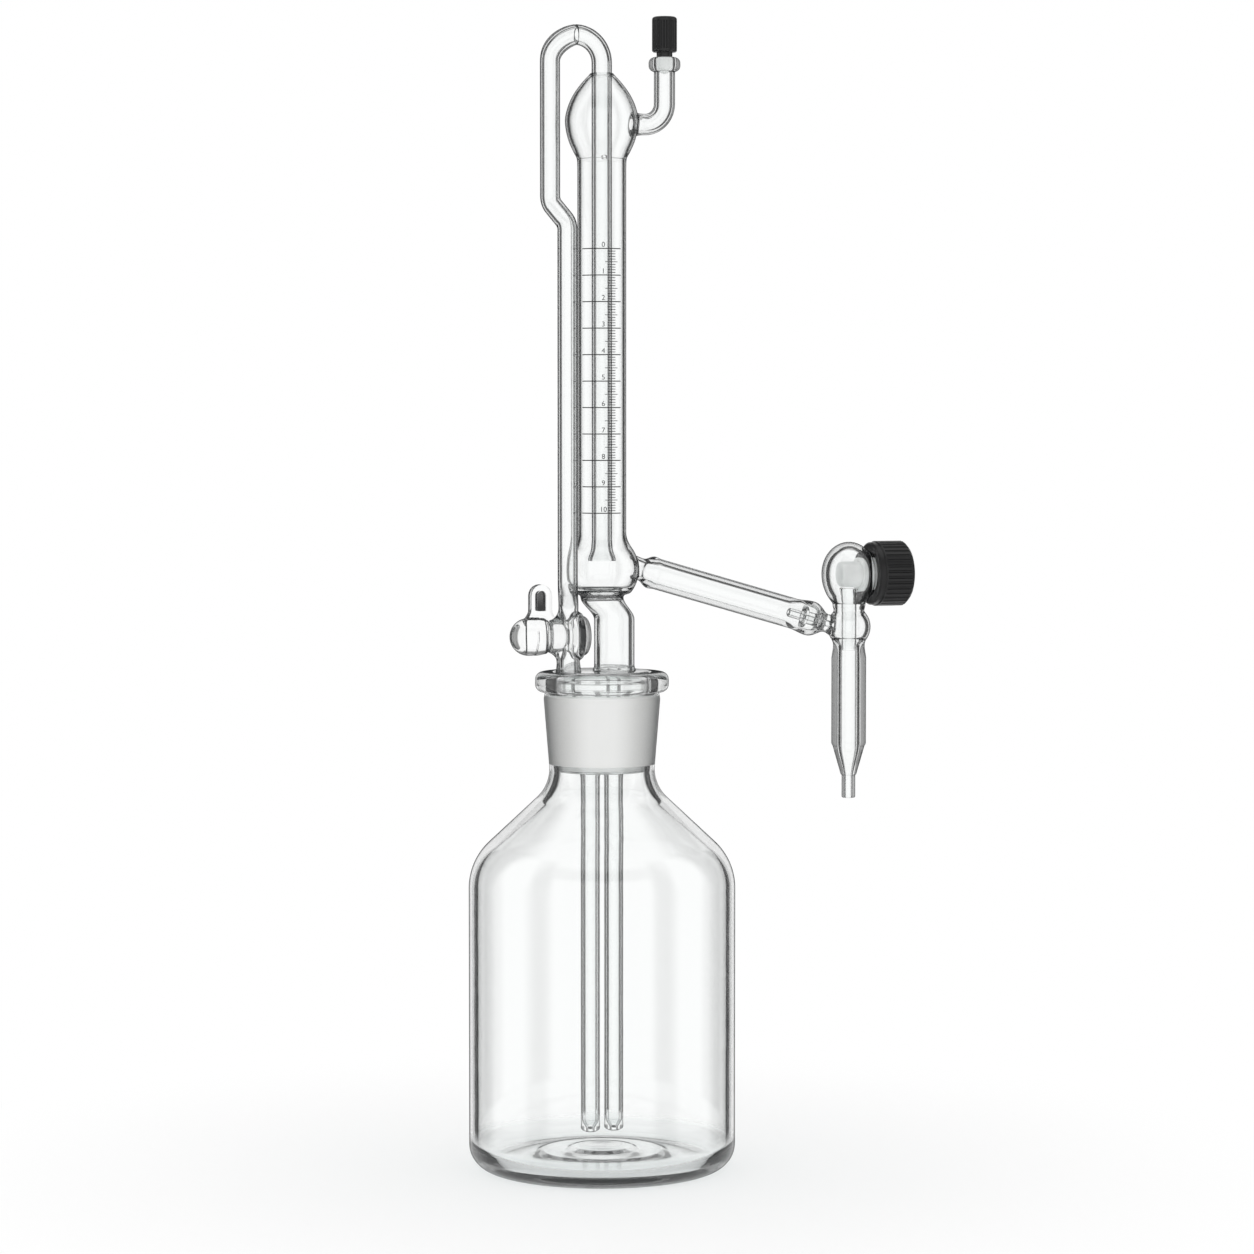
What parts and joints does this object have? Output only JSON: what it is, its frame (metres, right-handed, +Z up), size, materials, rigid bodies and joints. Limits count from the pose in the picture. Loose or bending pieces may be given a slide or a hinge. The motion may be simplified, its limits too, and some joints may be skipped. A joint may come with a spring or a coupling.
{
  "type": "automatic zero burette",
  "caption": "Glass burette on a reservoir bottle: a riser with stopcock fills it over a top loop, and a side arm with a screw valve and drawn tip delivers the titrant.",
  "frame": {"origin": "centre of the bottle's base, on the surface it stands on", "axes": "+Z up along the burette, +X along the side arm towards the delivery valve"},
  "size_m": [0.1484, 0.086, 0.3706],
  "materials": {
    "clear_glass": "clear, fire-polished",
    "ground_glass": "frosted where ground",
    "white_polymer": "smooth, waxy",
    "black_polymer": "moulded, satin",
    "dark_seal": "smooth"
  },
  "bodies": {
    "reservoir": {"reservoir_bottle": "clear_glass"},
    "head": {"ground_cone": "ground_glass", "riser_link": "clear_glass", "return_link": "clear_glass", "supply_dip_tube": "clear_glass", "return_dip_tube": "clear_glass", "support_tube": "clear_glass", "support_offset": "clear_glass", "lower_bulb": "clear_glass", "burette_tube": "clear_glass", "upper_bulb": "clear_glass", "fill_tube": "clear_glass", "fill_bend": "clear_glass", "riser_bend": "clear_glass", "riser_upper": "clear_glass", "riser_tube": "clear_glass", "riser_jog": "clear_glass", "riser_foot": "clear_glass", "stopcock_barrel": "clear_glass", "barrel_end_disc": "clear_glass", "side_arm": "clear_glass", "arm_jet": "clear_glass", "valve_body": "clear_glass", "drop_tube": "clear_glass", "delivery_tube": "clear_glass", "delivery_tip": "clear_glass", "valve_bushing": "white_polymer", "vent_arm": "clear_glass", "vent_collar": "clear_glass", "vent_bushing": "white_polymer"},
    "plug": {"stopcock_plug": "clear_glass", "stopcock_handle": "clear_glass"},
    "piston": {"valve_piston": "white_polymer", "piston_rings": "dark_seal"},
    "cap": {"valve_cap": "black_polymer"},
    "spindle": {"vent_spindle": "dark_seal"},
    "knob": {"vent_knob": "black_polymer"}
  },
  "joints": [
    {"name": "head_lift", "type": "slide", "parent": "reservoir", "child": "head", "axis": [0, 0, 1], "range_m": [0, 0.155]},
    {"name": "plug_turn", "type": "hinge", "parent": "head", "child": "plug", "pos_m": [-0.01134, 0, 0.17245], "axis": [1, 0, 0], "range_deg": [-90, 90]},
    {"name": "valve_slide", "type": "slide", "parent": "head", "child": "piston", "axis": [1, 0, 0], "range_m": [0, 0.00401]},
    {"name": "cap_turn", "type": "hinge", "parent": "piston", "child": "cap", "pos_m": [0.09, 0, 0.19108], "axis": [1, 0, 0], "range_deg": [0, 360]},
    {"name": "vent_slide", "type": "slide", "parent": "head", "child": "spindle", "axis": [0, 0, 1], "range_m": [0, 0.002]},
    {"name": "knob_turn", "type": "hinge", "parent": "spindle", "child": "knob", "pos_m": [0.0213, 0, 0.36], "axis": [0, 0, 1], "range_deg": [0, 360]}
  ],
  "couplings": [
    {"joint": "valve_slide", "follows": "cap_turn", "m_per_rad": 0.000636},
    {"joint": "knob_turn", "follows": "vent_slide", "rad_per_m": 3140}
  ]
}
